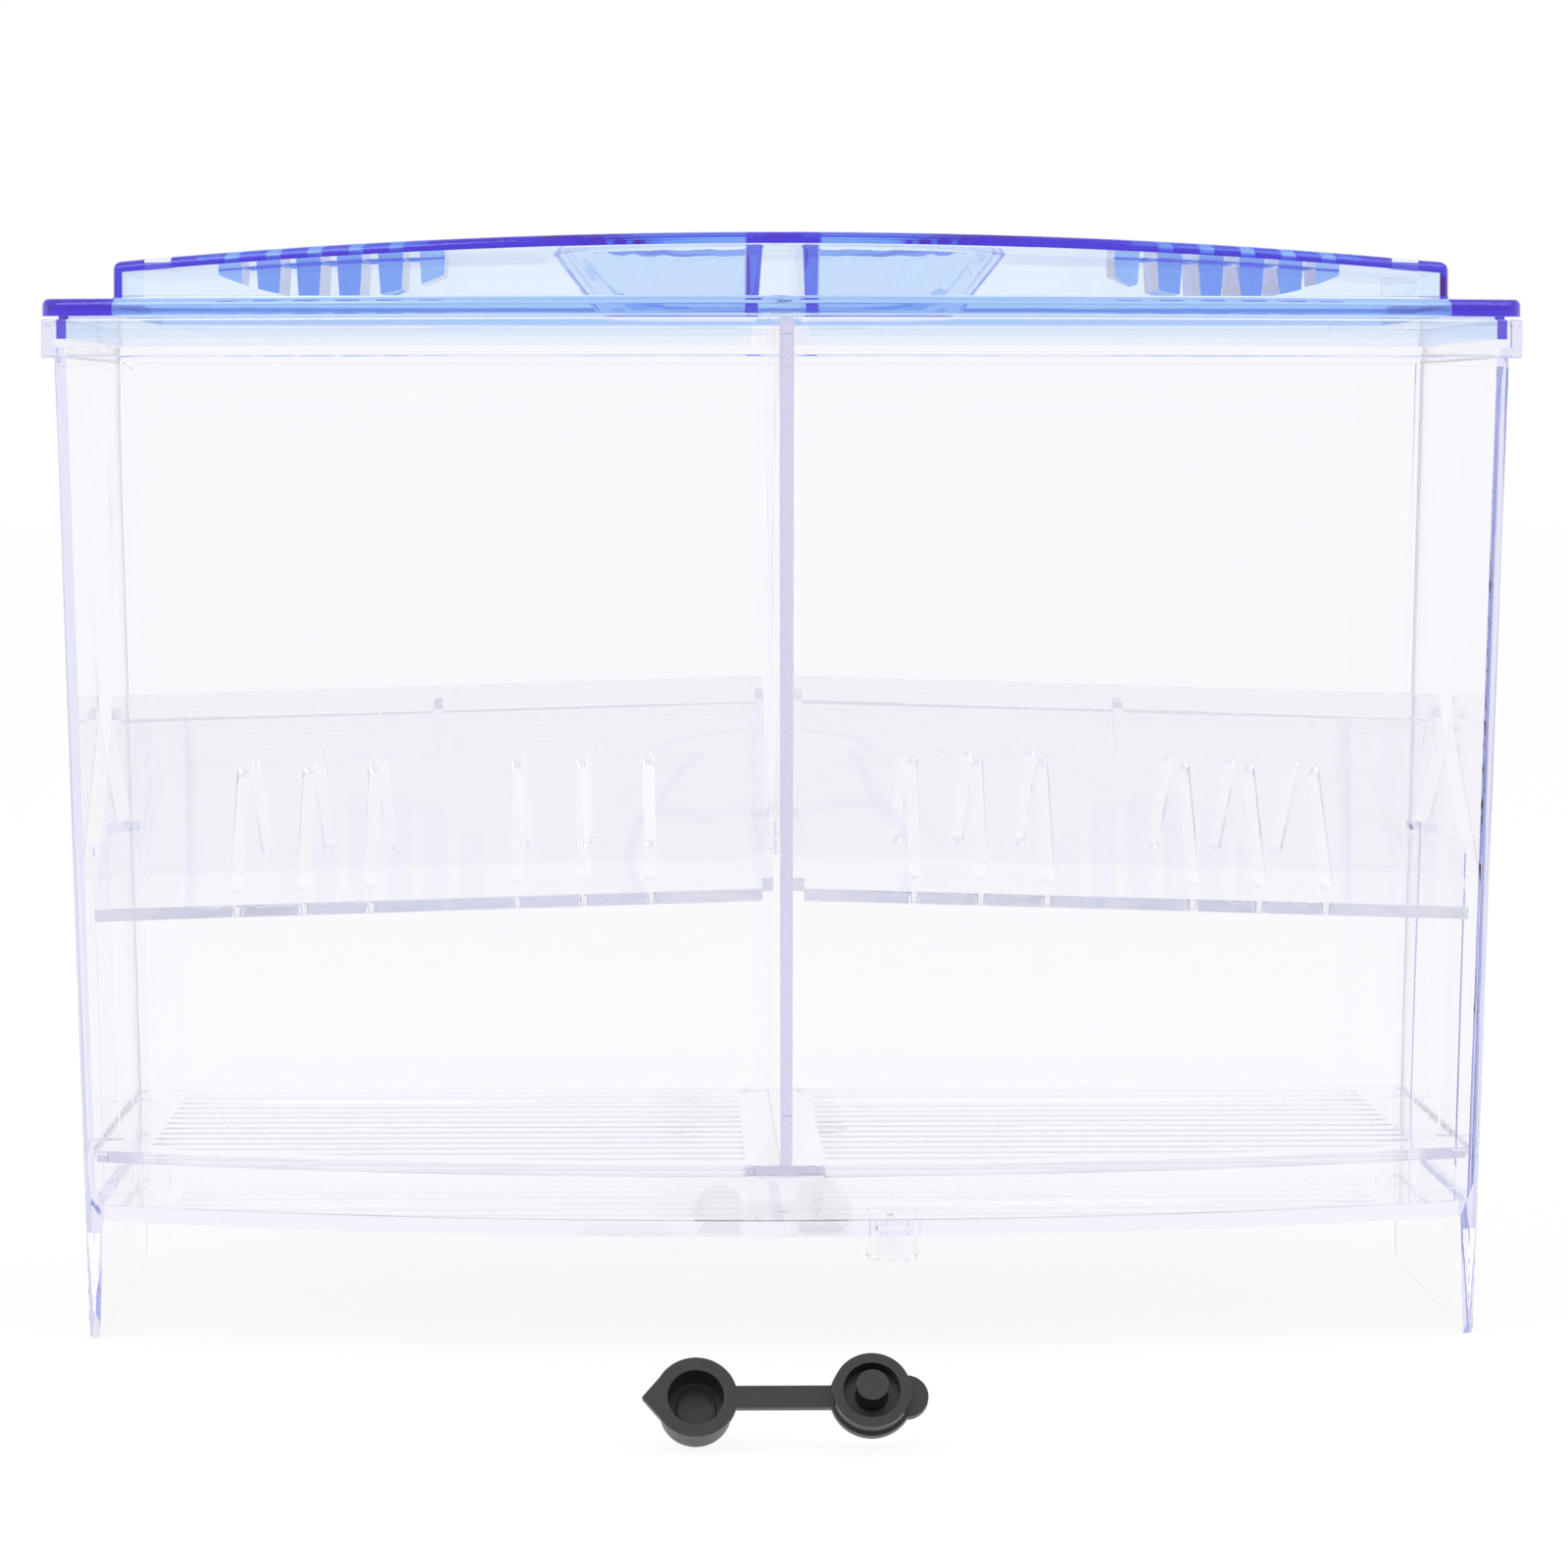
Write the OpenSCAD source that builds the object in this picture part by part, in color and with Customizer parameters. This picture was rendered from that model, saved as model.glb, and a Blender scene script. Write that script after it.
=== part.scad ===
/* [Tank] */
// Width across the tank's rim
tank_w = 204.1; // [180:0.1:240]
// Depth at the side walls, from the front corners to the back of the rim
corner_depth = 82; // [70:0.5:110]
// How far the front wall bulges past its corners
bow = 20; // [10:0.5:26]
// Height of the tank's rim above the table
tank_h = 141.6; // [126:0.1:170]
// Thickness of the walls
wall = 1.8; // [1.4:0.1:2.6]
// Lean of each wall, in degrees, narrow at the foot
draft = 1.44; // [0.5:0.02:2]
// Height of the thick rim
rim_h = 5.3; // [4.6:0.1:8]
// How far the rim stands out past the wall below it
rim_overhang = 1.7; // [1:0.1:2.5]
// Width of the step left on the rim's top, round the lid's seat
rim_lip = 2; // [1.5:0.1:2.4]
// Depth of the lid's seat below the rim's top
seat_depth = 3.8; // [3:0.1:4.4]
// Height of the small pads that carry the lid
pad_h = 0.4; // [0.3:0.05:1]
// Distance of the pads from the rim's outer face
pad_margin = 0.4; // [0.2:0.1:0.6]
// Where each pad starts, from the centre line
pad_places = [5.2, 38.8, 84.7];
// Length of each pad
pad_len = [9, 12, 11];

/* [Base] */
// Height of the tank floor's underside above the table
skirt_h = 16.6; // [13:0.1:24]
// Thickness of the tank floor
floor_t = 2; // [1.6:0.1:3]
// Thickness of the skirt at the floor
skirt_top_t = 2.6; // [2:0.1:3]
// Thickness of the skirt where it meets the table
skirt_foot_t = 1.6; // [1.2:0.1:2]
// Outer diameter of the drain nozzle
nozzle_d = 7.2; // [6:0.1:9]
// Diameter of the drain's hole
nozzle_bore = 3.8; // [3:0.1:4.6]
// How far the drain nozzle hangs below the tank floor
nozzle_len = 4.8; // [3:0.1:8]
// Distance of the drain to the right of the centre
nozzle_x = 14.9; // [10:0.1:40]
// Distance of the drain behind the front corners
nozzle_y = -3; // [-5:0.5:20]

/* [Supports in the tank] */
// How far each upright rib stands out from its side wall
rib_out = 2.4; // [1.5:0.1:3.5]
// Width of each rib, from front to back
rib_w = 2.4; // [1.5:0.1:4]
// Distance of the front ribs behind the front corners
rib_y = 16; // [14:0.5:22]
// How far the shelf at each rib's foot stands out
shelf_out = 5; // [4:0.1:8]
// Width of each of the ribs that hold the divider's edges
guide_w = 1.35; // [1:0.05:2]
// How far those ribs stand out from the wall
guide_out = 1.6; // [1.2:0.1:2.5]
// Length of the pair on the front wall
front_guide_h = 5.4; // [4.5:0.1:8]

/* [Floor grille] */
// Thickness of the grille
grille_t = 1.6; // [1.2:0.1:2.4]
// Height of the space below the grille
grille_lift = 6; // [5:0.1:12]
// Distance from slot to slot
slot_pitch = 5.8; // [4.5:0.1:8]
// Width of each slot
slot_w = 2; // [1.2:0.1:2.6]
// Width of the solid strip under the divider
strip_w = 11; // [9:0.5:16]
// Solid border round the slots
grille_border = 5; // [4:0.5:10]
// Width of each of the grille's two legs
leg_w = 10.5; // [8:0.5:14]
// Thickness of each leg
leg_t = 2; // [1.5:0.1:3]
// Width of the notch in each leg's foot
leg_notch_w = 6.4; // [4:0.1:6.6]
// Height of that notch
leg_notch_h = 1; // [0.5:0.1:2]
// Radius of each leg's corners
leg_r = 1.7; // [0.5:0.1:3.4]

/* [Divider] */
// Thickness at its top
divider_top_t = 1.95; // [1.7:0.05:2.4]
// Thickness at its foot
divider_foot_t = 1.6; // [1.2:0.05:1.7]
// Distance of its top below the tank's rim
divider_drop = 0.4; // [0.3:0.1:2]
// How far the nubs that carry the plates stand out from it
nub_out = 2.5; // [2:0.1:4]
// Height of each nub
nub_h = 2.6; // [2:0.1:4]

/* [Sloping plates] */
// Slope of the plates, in degrees
plate_slope = 35; // [30:0.5:38]
// How far the plates' inner ends stand higher than their outer ends, in degrees
plate_tilt = 1.7; // [0:0.1:2.5]
// Thickness of each plate
plate_t = 1.5; // [1.2:0.1:2]
// Height of each plate's lowest corner above the table
plate_low_z = 58.1; // [50:0.1:64]
// Height of the flange along each plate's ridge
ridge_h = 2.7; // [2:0.1:5]
// Width of each slot in a plate
plate_slot_w = 1.8; // [1.2:0.1:2.4]
// Where each slot starts, up the slope
plate_slot_start = 4.6; // [3:0.1:8]
// Length of each slot, up the slope
plate_slot_len = 26.9; // [15:0.1:28]
// Distance from slot to slot in a group
plate_slot_pitch = 9.35; // [6:0.05:9.6]
// Distance of each group's first slot from the plate's outer end
plate_slot_groups = [19.4, 58.4];
// Width of each gusset
gusset_w = 1.3; // [1:0.1:2]
// Length of each gusset down the slope
gusset_len = 11; // [6:0.5:14]
// Height of each gusset against the ridge flange
gusset_h = 2.2; // [1:0.1:4]

/* [Lid] */
// Thickness of the lid's flange
flange_t = 2.4; // [2:0.1:3.5]
// How far the flange stands out past the tank's rim
flange_over = 0.15; // [0:0.05:1]
// Thickness of the dome and of its walls
lid_t = 1.5; // [1.2:0.1:2]
// How far the dome stands in from the flange's edge
dome_inset = 9.4; // [8:0.1:14]
// Height of the dome's crest above the tank's rim
crest_h = 11.7; // [10:0.1:18]
// How much lower the dome is at its two ends
crest_drop = 3.7; // [2:0.1:5]
// Depth of the locating skirt below the flange
lid_skirt_h = 3.1; // [2:0.1:3.2]
// Width of the skirt's notches over the divider
lid_notch_w = 6.3; // [6:0.1:8]
// Distance from vent slot to vent slot
vent_pitch = 5.7; // [5:0.1:8]
// Width of each vent slot
vent_w = 2; // [1.5:0.1:3]
// Distance of each vent's centre from the lid's centre
vent_x = 63.4; // [58:0.1:70]
// Half the vent's reach from front to back
vent_half_y = 13; // [9:0.5:18]
// Depth of the bars between the vent slots, at the vent's middle
vent_bar_h = 5.2; // [2:0.1:5.4]
// Width of each bar at the dome
vent_bar_w = 3.5; // [2:0.1:3.6]
// How much narrower each bar is at its lowest, on each side
vent_bar_taper = 0.35; // [0:0.05:0.6]
// Length of the tube slots at the ends of the dome, from side to side
end_slot_w = 3.9; // [3:0.1:6]
// Depth of those slots, from front to back
end_slot_d = 2.4; // [1:0.1:4]
// Distance of the slots' middles from the lid's centre
end_slot_x = 86.2; // [84:0.1:87]

/* [Finger pockets] */
// Length of the oval at the top, from side to side
pocket_w = 62.8; // [54:0.1:72]
// Width of the oval at the top, from front to back
pocket_d = 44; // [36:0.5:56]
// How much smaller the oval is all round at its floor
pocket_taper = 7.9; // [5:0.1:9]
// Height of the pocket's floor above the tank's rim
pocket_floor = 2; // [1.9:0.1:3.5]
// Width of the grip between the two pockets
grip_w = 9.8; // [8:0.1:14]
// Thickness of the grip's two walls at the top
grip_t = 2.2; // [1.8:0.1:3]
// Thickness of the grip's two walls at their foot
grip_foot_t = 1.6; // [1.2:0.1:1.8]

/* [Drain plug] */
// Distance between the middles of its two ends
plug_span = 21.8; // [19:0.1:30]
// Diameter of the cup's flange and of the disc that carries the pin
plug_flange_d = 10.4; // [10:0.1:12]
// Thickness of the flange and of the strap
plug_t = 1.2; // [0.8:0.1:1.8]
// Width of the strap
strap_w = 2.9; // [2:0.1:4]
// Outer diameter of the cup
cup_d = 9; // [8.4:0.1:9.8]
// Depth of the cup, outside
cup_depth = 6; // [4:0.1:8]
// How much narrower than the nozzle the rubber is where it grips
plug_squeeze = 0.2; // [0.1:0.05:0.4]
// Distance of the cup's pointed tip from its middle
cup_tip = 6.7; // [6.2:0.1:9]
// Height of the ring above the strap
ring_h = 2.3; // [1:0.1:4]
// Outer diameter of that ring
ring_d = 9.7; // [9:0.1:10]
// How far the pin stands out past the ring
pin_out = 1.9; // [0:0.1:3]
// Distance of the pull tab's end from the middle of the pin
tab_reach = 7.1; // [6.5:0.1:10]
// Width of the pull tab
tab_w = 5.5; // [4:0.1:7]
// Distance of the plug in front of the tank's corners
plug_ahead = 84; // [45:1:120]
// Distance of the plug's middle to the left of the centre
plug_left = 2; // [-40:1:40]
// How far the plug leans back, in degrees
plug_lean = 30; // [0:1:40]

/* [Clearances] */
// Gap between pieces that lift past each other
clear = 0.3; // [0.2:0.05:0.5]
// Gap on each side of the divider between its guides
guide_clear = 0.2; // [0.15:0.05:0.4]
// Gap under each piece where it rests
seat_gap = 0.1; // [0.05:0.05:0.2]

/* [Hidden] */

$fn = 48;
// Facets of the wide arcs: the bowed front and the lid's low arch
bow_fn = 360;
arch_fn = 1440;
// Facets of the finger pockets' oval
oval_fn = 36;
// How far a cutter runs past what it cuts
past = 5;
// A length past the whole box
far = 300;

half_w = tank_w / 2;
bow_r = (half_w * half_w + bow * bow) / (2 * bow);
bow_centre = bow_r - bow;
rim_z = tank_h - rim_h;
seat_z = tank_h - seat_depth;
floor_z = skirt_h + floor_t;

// Heights of the pieces that stand on each other
grille_z = floor_z + grille_lift;
grille_top = grille_z + grille_t;
divider_z = grille_top + seat_gap;
divider_top = tank_h - divider_drop;
flange_z = tank_h + pad_h;
dome_z = flange_z + flange_t;
crest_z = tank_h + crest_h;

// Stand-off of the tank's outer and inner wall from the rim's outline, at a height
function wall_off(z) = -rim_overhang - (rim_z - z) * tan(draft);
function inner_off(z) = wall_off(z) - wall;
function half_in(z) = half_w + inner_off(z);
function back_in(z) = corner_depth + inner_off(z);
// Y of the bowed front at a distance from the centre line, for a stand-off
function front_y(x, off) = bow_centre - sqrt(pow(bow_r + off, 2) - x * x);

// The plates' low edges, ridge and underside
plate_end = half_in(plate_low_z) - rib_out / 2;
plate_start = divider_top_t / 2 + clear;
plate_low_y = front_y(plate_end, inner_off(plate_low_z)) + clear * 2;
plate_back_y = back_in(plate_low_z) - clear;
ridge_y = (plate_low_y + plate_back_y) / 2;
plate_run = ridge_y - clear / 2 - plate_low_y;
plate_rise = plate_run * tan(plate_slope);
// Upright thickness of a sloping plate
plate_up_t = plate_t / cos(plate_slope);
// Underside of the plates at their outer end, and how much higher it is nearer the divider
function under_z(y) = plate_low_z + (y - plate_low_y) * tan(plate_slope);
function tilt_rise(x) = (plate_end - x) * tan(plate_tilt);

// The ribs that hold the divider's edges
guide_gap = divider_top_t + 2 * guide_clear;
guide_half = guide_gap / 2 + guide_w;
guide_top = tank_h - clear;

// The plug, as it stands
plug_r = plug_flange_d / 2;
pin_r = (nozzle_bore + plug_squeeze) / 2;
plug_foot = max(cup_d / 2 * cos(plug_lean) + cup_depth * sin(plug_lean),
    plug_r * cos(plug_lean) + plug_t * sin(plug_lean));
plug_reach = max(plug_r * sin(plug_lean), ring_h * cos(plug_lean) + ring_d / 2 * sin(plug_lean),
    (ring_h + pin_out) * cos(plug_lean) + pin_r * sin(plug_lean));

// The frame's origin lies under the middle of everything, the plug included
front_most = -plug_ahead - plug_reach;
back_most = corner_depth + flange_over;
shift_y = -(front_most + back_most) / 2;

tank_colour = [0.86, 0.88, 0.97, 0.35];
plate_colour = [0.9, 0.91, 0.97, 0.45];
lid_colour = [0.2, 0.42, 0.93, 0.6];
rubber_colour = [0.1, 0.1, 0.11];

module in_frame() {
    translate([0, shift_y, 0]) children();
}

// An outline across the width, run from front to back
module across(points) {
    translate([0, far, 0]) rotate([90, 0, 0]) linear_extrude(2 * far) polygon(points);
}

// An outline from front to back, run across the width
module along(points) {
    rotate([90, 0, 90]) linear_extrude(2 * far, center = true) polygon(points);
}

// The box's plan between two heights, each with its own stand-off from the rim
module bowed(z0, z1, off0, off1) {
    lean = (off1 - off0) / (z1 - z0);
    low = off0 - lean * past;
    high = off1 + lean * past;
    intersection() {
        across([[-half_w - off0, z0], [half_w + off0, z0], [half_w + off1, z1], [-half_w - off1, z1]]);
        along([[-far, z0 - past], [corner_depth + low, z0 - past],
            [corner_depth + high, z1 + past], [-far, z1 + past]]);
        translate([0, bow_centre, z0 - past])
            cylinder(h = z1 - z0 + 2 * past, r1 = bow_r + low, r2 = bow_r + high, $fn = bow_fn);
    }
}

// The same plan with upright walls
module upright(z0, z1, off) {
    bowed(z0, z1, off, off);
}

module span_x(x0, x1, z0, z1, y0 = -far / 2, y1 = far / 2) {
    translate([x0, y0, z0]) cube([x1 - x0, y1 - y0, z1 - z0]);
}

module both_sides() {
    children();
    left() children();
}

module left() {
    mirror([1, 0, 0]) children();
}

// The rear half mirrors the front half about the ridge
module rear() {
    translate([0, 2 * ridge_y, 0]) mirror([0, 1, 0]) children();
}

module and_rear() {
    children();
    rear() children();
}

// Tank

module tank_rib() {
    foot = floor_z - floor_t / 2;
    top = under_z(rib_y + rib_w) + past;
    intersection() {
        across([[half_in(foot) - rib_out, foot], [half_in(foot) + wall / 2, foot],
            [half_in(top) + wall / 2, top], [half_in(top) - rib_out, top]]);
        along([[rib_y, foot - past], [rib_y + rib_w, foot - past],
            [rib_y + rib_w, under_z(rib_y + rib_w) - seat_gap], [rib_y, under_z(rib_y) - seat_gap]]);
    }
    span_x(half_in(foot) - shelf_out, half_in(foot) + wall / 2, foot, grille_z - seat_gap,
        rib_y, rib_y + rib_w);
}

// A pair of ribs with round tops, on the front wall or the back one
module guide_pair(z0, y0, y1) {
    intersection() {
        difference() {
            bowed(z0, guide_top, inner_off(z0) + wall / 2, inner_off(guide_top) + wall / 2);
            bowed(z0 - past, guide_top + past, inner_off(z0 - past) - guide_out,
                inner_off(guide_top + past) - guide_out);
        }
        both_sides() {
            span_x(guide_gap / 2, guide_half, z0, guide_top - guide_w / 2, y0, y1);
            translate([guide_half - guide_w / 2, y1, guide_top - guide_w / 2]) rotate([90, 0, 0])
                cylinder(h = y1 - y0, d = guide_w);
        }
    }
}

// Pads on the rim's top, at the front and the back
module rim_pads() {
    intersection() {
        difference() {
            upright(tank_h - pad_h, flange_z, -pad_margin);
            upright(tank_h - past, tank_h + past, pad_margin - rim_lip);
        }
        both_sides() for (i = [0:len(pad_places) - 1])
            span_x(pad_places[i], pad_places[i] + pad_len[i], tank_h - past, tank_h + past);
    }
}

module tank() {
    color(tank_colour) in_frame() {
        difference() {
            union() {
                bowed(0, rim_z, wall_off(0), wall_off(rim_z));
                upright(rim_z, tank_h, 0);
            }
            bowed(floor_z, tank_h + past, inner_off(floor_z), inner_off(tank_h + past));
            upright(seat_z, tank_h + past, -rim_lip);
            base_cavity();
            translate([nozzle_x, nozzle_y, skirt_h - past])
                cylinder(h = floor_t + 2 * past, d = nozzle_bore);
        }
        both_sides() and_rear() tank_rib();
        guide_pair(guide_top - front_guide_h, -far / 2, 0);
        guide_pair(grille_z, corner_depth / 2, far / 2);
        rim_pads();
        translate([nozzle_x, nozzle_y, skirt_h - nozzle_len]) difference() {
            cylinder(h = nozzle_len + floor_t / 2, d = nozzle_d);
            translate([0, 0, -past]) cylinder(h = nozzle_len + floor_t + 2 * past, d = nozzle_bore);
        }
    }
}

// The room under the tank's floor, open to the front
module base_cavity() {
    foot_in = half_w + wall_off(0) - skirt_foot_t;
    top_in = half_w + wall_off(skirt_h) - skirt_top_t;
    intersection() {
        across([[-foot_in, 0], [-foot_in, -past], [foot_in, -past], [foot_in, 0],
            [top_in, skirt_h], [-top_in, skirt_h]]);
        along([[-far, -2 * past], [corner_depth + wall_off(0) - skirt_foot_t, -2 * past],
            [corner_depth + wall_off(0) - skirt_foot_t, 0],
            [corner_depth + wall_off(skirt_h) - skirt_top_t, skirt_h],
            [corner_depth + wall_off(skirt_h) - skirt_top_t, skirt_h + past], [-far, skirt_h + past]]);
    }
}

// Floor grille

module grille() {
    edge = inner_off(grille_z) - clear;
    rows = floor((back_in(grille_z) - front_y(0, edge) - 2 * grille_border) / slot_pitch);
    last_y = back_in(grille_z) - clear - grille_border - slot_w;
    color(plate_colour) in_frame() {
        difference() {
            upright(grille_z, grille_top, edge);
            both_sides() and_rear() rib_notch();
            span_x(-guide_half - clear, guide_half + clear, grille_z - past, grille_top + past,
                back_in(grille_z) - guide_out - clear, far / 2);
            intersection() {
                upright(grille_z - past, grille_top + past, edge - grille_border);
                both_sides() for (i = [0:rows])
                    span_x(strip_w / 2, half_in(grille_z) - grille_border - rib_out,
                        grille_z - past, grille_top + past, last_y - i * slot_pitch,
                        last_y - i * slot_pitch + slot_w);
            }
        }
        grille_leg(front_y(leg_w / 2, edge));
        grille_leg(back_in(grille_z) - guide_out - 2 * clear - leg_t);
    }
}

module rib_notch() {
    span_x(half_in(grille_z) - rib_out - clear, far / 2, grille_z - past, grille_top + past,
        rib_y - clear, rib_y + rib_w + clear);
}

// A leg with rounded feet and a notch between them
module grille_leg(y) {
    low = floor_z + seat_gap;
    high = grille_z + grille_t / 2;
    translate([0, y + leg_t, 0]) rotate([90, 0, 0]) linear_extrude(leg_t) difference() {
        union() {
            translate([-leg_w / 2, low + leg_r]) square([leg_w, high - low - leg_r]);
            translate([-leg_w / 2 + leg_r, low]) square([leg_w - 2 * leg_r, leg_r]);
            for (side = [-1, 1]) translate([side * (leg_w / 2 - leg_r), low + leg_r]) circle(leg_r);
        }
        translate([-leg_notch_w / 2, low - past]) square([leg_notch_w, leg_notch_h + past]);
    }
}

// Divider

module divider() {
    edge_foot = inner_off(divider_z) - clear;
    edge_top = inner_off(divider_top) - clear;
    color(plate_colour) in_frame() {
        intersection() {
            bowed(divider_z, divider_top, edge_foot, edge_top);
            across([[-divider_foot_t / 2, divider_z - past], [divider_foot_t / 2, divider_z - past],
                [divider_top_t / 2, divider_top + past], [-divider_top_t / 2, divider_top + past]]);
        }
        both_sides() and_rear() divider_nub();
    }
}

// A nub with a sloping top that carries a plate's inner end
module divider_nub() {
    nub_end = divider_top_t / 2 + nub_out;
    top = tilt_rise(nub_end) - seat_gap;
    low = under_z(rib_y) + top - nub_h;
    intersection() {
        span_x(0, nub_end, low, low + far / 2);
        along([[rib_y, low], [rib_y + rib_w, low], [rib_y + rib_w, under_z(rib_y + rib_w) + top],
            [rib_y, under_z(rib_y) + top]]);
    }
}

// Sloping plates

// The plate of the front right quarter, tilted down to its outer end
module plate() {
    translate([plate_end, 0, plate_low_z]) rotate([0, plate_tilt, 0])
        translate([-plate_end, 0, -plate_low_z]) level_plate();
}

// The same plate with both ends at one height
module level_plate() {
    difference() {
        union() {
            plate_piece(plate_start, plate_end, [[plate_low_y, under_z(plate_low_y)],
                [plate_low_y + plate_run, under_z(plate_low_y) + plate_rise],
                [plate_low_y + plate_run, under_z(plate_low_y) + plate_rise + plate_up_t],
                [plate_low_y, under_z(plate_low_y) + plate_up_t]]);
            plate_piece(plate_start, plate_end, ridge_flange());
            for (x = [plate_start, (plate_start + plate_end - gusset_w) / 2, plate_end - gusset_w])
                plate_piece(x, x + gusset_w, gusset());
        }
        for (first = plate_slot_groups, i = [0:2])
            plate_slot(plate_end - first - i * plate_slot_pitch);
        span_x(0, guide_half + clear, plate_low_z - past, plate_low_z + past,
            plate_low_y - past, plate_low_y + guide_out + clear);
    }
}

module plate_piece(x0, x1, points) {
    translate([x0, 0, 0]) rotate([90, 0, 90]) linear_extrude(x1 - x0) polygon(points);
}

function ridge_flange() = let (y1 = plate_low_y + plate_run, z = plate_low_z + plate_rise)
    [[y1 - plate_t, z - plate_t * tan(plate_slope)], [y1, z], [y1, z + plate_up_t + ridge_h],
        [y1 - plate_t, z + plate_up_t + ridge_h]];

function gusset() = let (y1 = plate_low_y + plate_run - plate_t / 2, run = gusset_len * cos(plate_slope))
    [[y1, under_z(y1) + plate_up_t / 2], [y1, under_z(y1) + plate_up_t + gusset_h],
        [y1 - run, under_z(y1 - run) + plate_up_t], [y1 - run, under_z(y1 - run) + plate_up_t / 2]];

// A slot with round ends, square to the slope
module plate_slot(x) {
    translate([x, plate_low_y, plate_low_z]) rotate([plate_slope, 0, 0]) {
        for (up = [plate_slot_start + plate_slot_w / 2, plate_slot_start + plate_slot_len - plate_slot_w / 2])
            translate([0, up, -past]) cylinder(h = plate_t + 2 * past, d = plate_slot_w);
        translate([-plate_slot_w / 2, plate_slot_start + plate_slot_w / 2, -past])
            cube([plate_slot_w, plate_slot_len - plate_slot_w, plate_t + 2 * past]);
    }
}

module plate_front_left() {
    color(plate_colour) in_frame() left() plate();
}

module plate_rear_left() {
    color(plate_colour) in_frame() left() rear() plate();
}

module plate_front_right() {
    color(plate_colour) in_frame() plate();
}

module plate_rear_right() {
    color(plate_colour) in_frame() rear() plate();
}

// Lid

dome_off = flange_over - dome_inset;
dome_half = half_w + dome_off;
arch_r = (dome_half * dome_half + crest_drop * crest_drop) / (2 * crest_drop);
pocket_y = (corner_depth - bow) / 2;

// Everything under the lid's low arch, or under one that lies lower
module under_arch(drop) {
    translate([0, far, crest_z - arch_r]) rotate([90, 0, 0])
        cylinder(h = 2 * far, r = arch_r - drop, $fn = arch_fn);
}

module dome_solid(inset, z0, drop) {
    intersection() {
        upright(z0, crest_z + past, dome_off - inset);
        under_arch(drop);
    }
}

// The oval of the finger pockets, grown by a wall or not
module pocket(grow, floor_height) {
    top = crest_z + past;
    run = (top - floor_height) / (crest_z - tank_h - pocket_floor);
    hull() {
        translate([0, pocket_y, floor_height]) oval(pocket_w / 2 - pocket_taper + grow,
            pocket_d / 2 - pocket_taper + grow);
        translate([0, pocket_y, top]) oval(pocket_w / 2 - pocket_taper + pocket_taper * run + grow,
            pocket_d / 2 - pocket_taper + pocket_taper * run + grow);
    }
}

// A thin slice of an oval, one end of a hull
module oval(half_x, half_y) {
    scale([half_x, half_y, 1]) cylinder(r = 1, h = 0.01, $fn = oval_fn);
}

// Half the length of a vent slot at a distance from its vent's centre
function vent_chord(x) = vent_half_y * sqrt(1 - pow(x / (3 * vent_pitch), 2));

module vent_slots() {
    for (i = [-2:2]) let (x = i * vent_pitch)
        span_x(vent_x + x - vent_w / 2, vent_x + x + vent_w / 2, dome_z, crest_z + past,
            pocket_y - vent_chord(x), pocket_y + vent_chord(x));
}

// Bars that hang below the dome beside the slots, deepest in the vent's middle
module vent_bars() {
    reach = 3.4 * vent_pitch;
    bowl_r = (reach * reach + vent_bar_h * vent_bar_h) / (2 * vent_bar_h);
    under = crest_z - arch_r + sqrt(pow(arch_r - lid_t, 2) - vent_x * vent_x);
    intersection() {
        for (i = [-2.5:2.5]) let (x = i * vent_pitch)
            vent_bar(vent_x + x, vent_chord(x), under - vent_bar_h);
        under_arch(lid_t / 2);
        translate([vent_x, far, under - vent_bar_h + bowl_r]) rotate([90, 0, 0])
            cylinder(h = 2 * far, r = bowl_r, $fn = bow_fn);
    }
}

// One bar, narrower towards its foot
module vent_bar(x, half_len, foot) {
    top = foot + vent_bar_h;
    translate([x, pocket_y + half_len, 0]) rotate([90, 0, 0]) linear_extrude(2 * half_len)
        polygon([[-vent_bar_w / 2, crest_z], [-vent_bar_w / 2, top], [vent_bar_taper - vent_bar_w / 2, foot],
            [vent_bar_w / 2 - vent_bar_taper, foot], [vent_bar_w / 2, top], [vent_bar_w / 2, crest_z]]);
}

module end_slot() {
    x = end_slot_x + end_slot_w / 2;
    y = front_y(x, dome_off) + lid_t;
    span_x(x - end_slot_w, x, dome_z, crest_z + past, y, y + end_slot_d);
}

// The hollow inside the grip, wider at its foot
module grip_room() {
    foot = grip_w / 2 - grip_foot_t;
    top = grip_w / 2 - grip_t;
    across([[-foot, tank_h - past], [foot, tank_h - past], [foot, tank_h + pocket_floor], [top, crest_z],
        [-top, crest_z], [-foot, tank_h + pocket_floor]]);
}

module lid() {
    seat_off = -rim_lip - clear;
    color(lid_colour) in_frame() difference() {
        union() {
            difference() {
                union() {
                    upright(flange_z, dome_z, flange_over);
                    dome_solid(0, flange_z, 0);
                }
                dome_solid(lid_t, flange_z - past, lid_t);
            }
            difference() {
                upright(flange_z - lid_skirt_h, flange_z + flange_t / 2, seat_off);
                upright(flange_z - lid_skirt_h - past, dome_z + past, seat_off - lid_t);
                span_x(-lid_notch_w / 2, lid_notch_w / 2, flange_z - lid_skirt_h - past, flange_z);
            }
            intersection() {
                pocket(lid_t, tank_h + pocket_floor - lid_t);
                dome_solid(lid_t / 2, flange_z, 0);
            }
            both_sides() vent_bars();
        }
        difference() {
            pocket(0, tank_h + pocket_floor);
            span_x(-grip_w / 2, grip_w / 2, tank_h, crest_z + 2 * past);
        }
        intersection() {
            grip_room();
            dome_solid(lid_t, flange_z - past, lid_t);
        }
        both_sides() vent_slots();
        both_sides() end_slot();
    }
}

// Drain plug

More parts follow.
